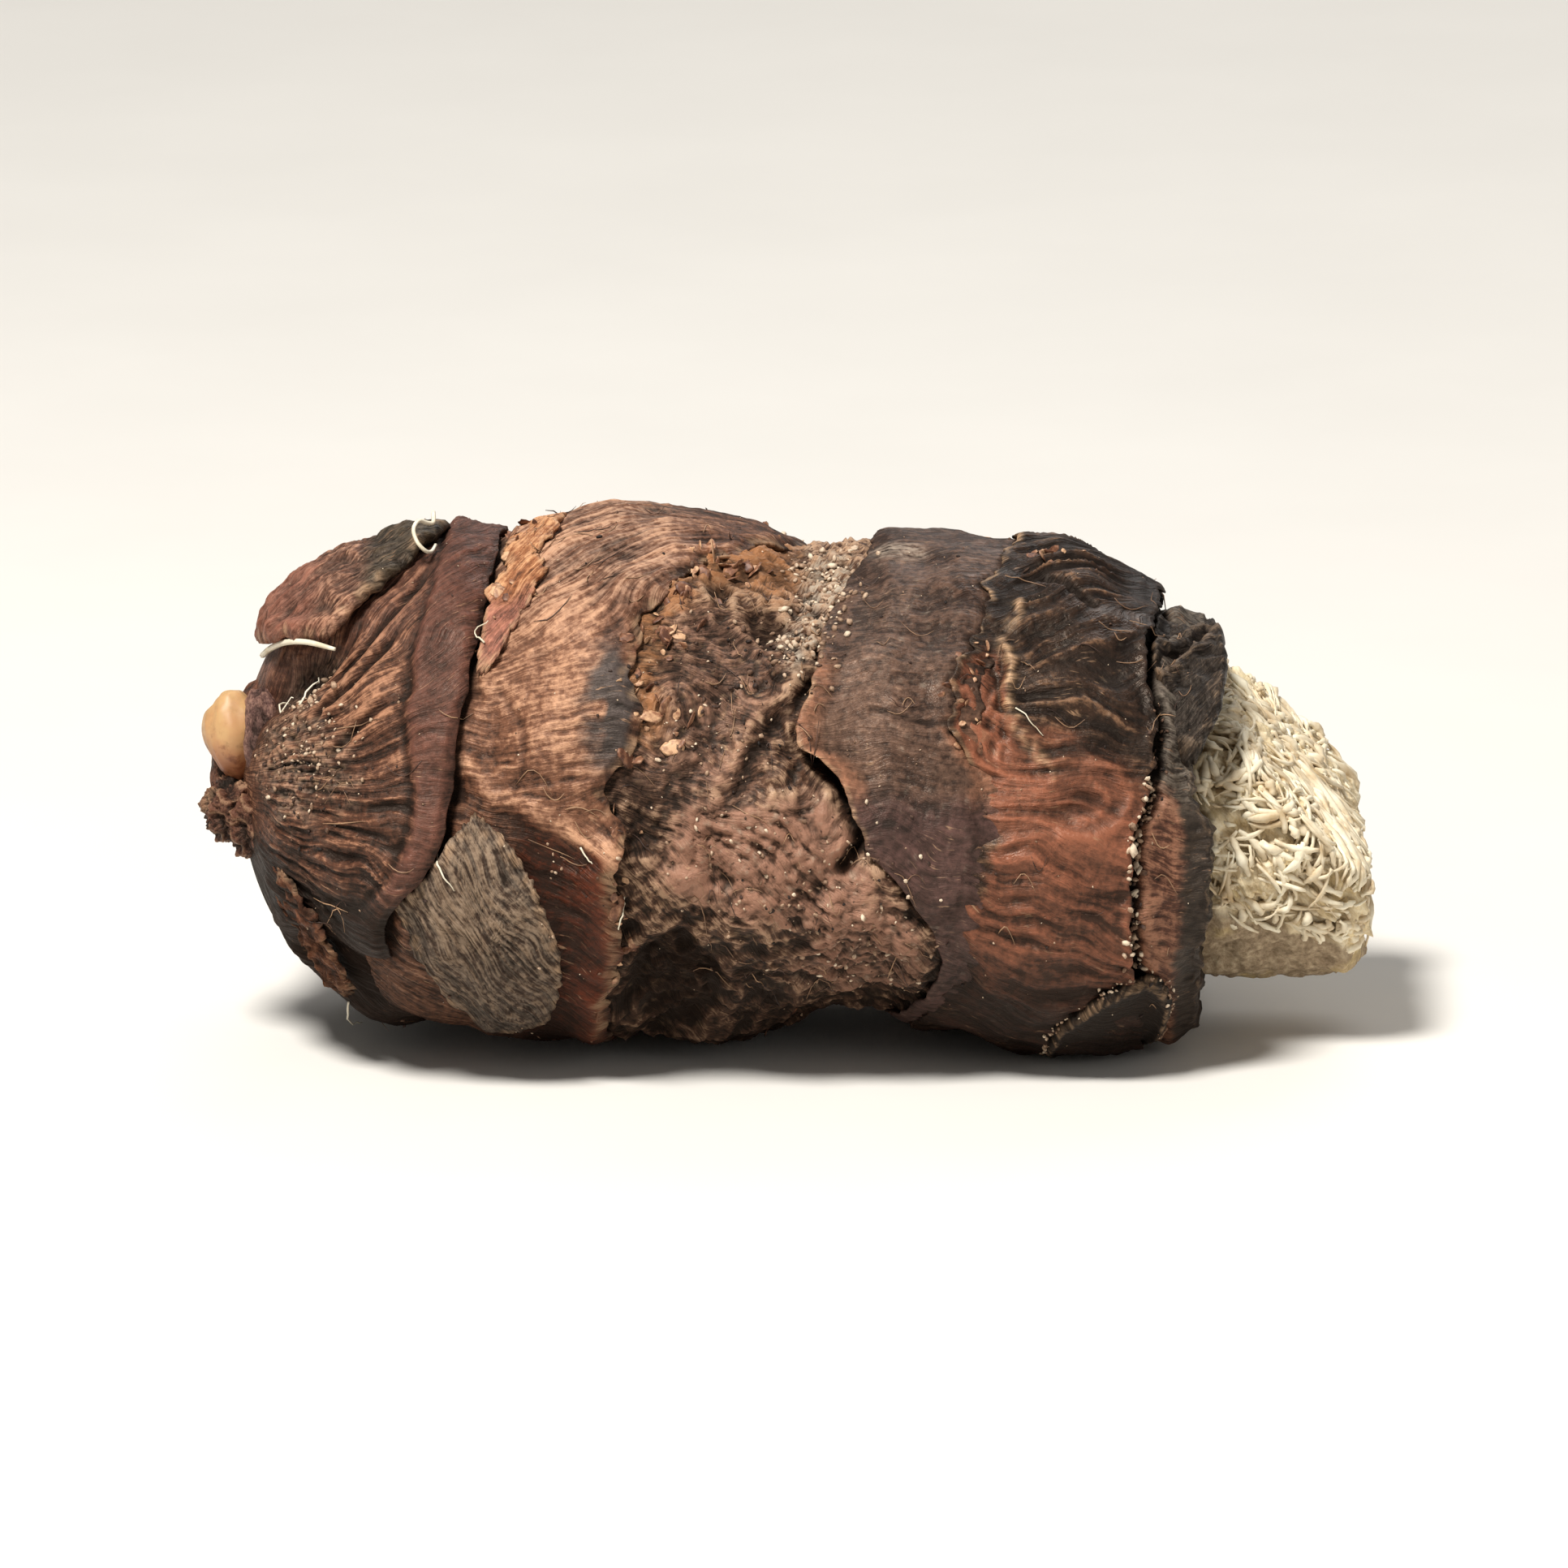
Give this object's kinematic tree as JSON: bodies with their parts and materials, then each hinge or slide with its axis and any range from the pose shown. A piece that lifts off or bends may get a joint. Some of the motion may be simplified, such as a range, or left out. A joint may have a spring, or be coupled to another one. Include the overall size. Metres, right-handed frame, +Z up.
{
  "type": "orris root",
  "caption": "Short piece of dried iris rhizome with papery brown leaf-base rings, a small bud at one end and a pale broken core at the other. Lies on its side.",
  "frame": {"origin": "on the ground, under the middle of the piece as it lies", "axes": "+X along the rhizome from the bud to the broken core, +Z up, -Y the side that shows the leaf-base rings best"},
  "size_m": [0.067, 0.0336, 0.0305],
  "materials": {
    "skin": "satin brown papery skin with fine lengthwise fibres",
    "flesh": "matt pale fibrous flesh"
  },
  "bodies": {
    "root": {"rhizome": "skin"}
  },
  "joints": []
}
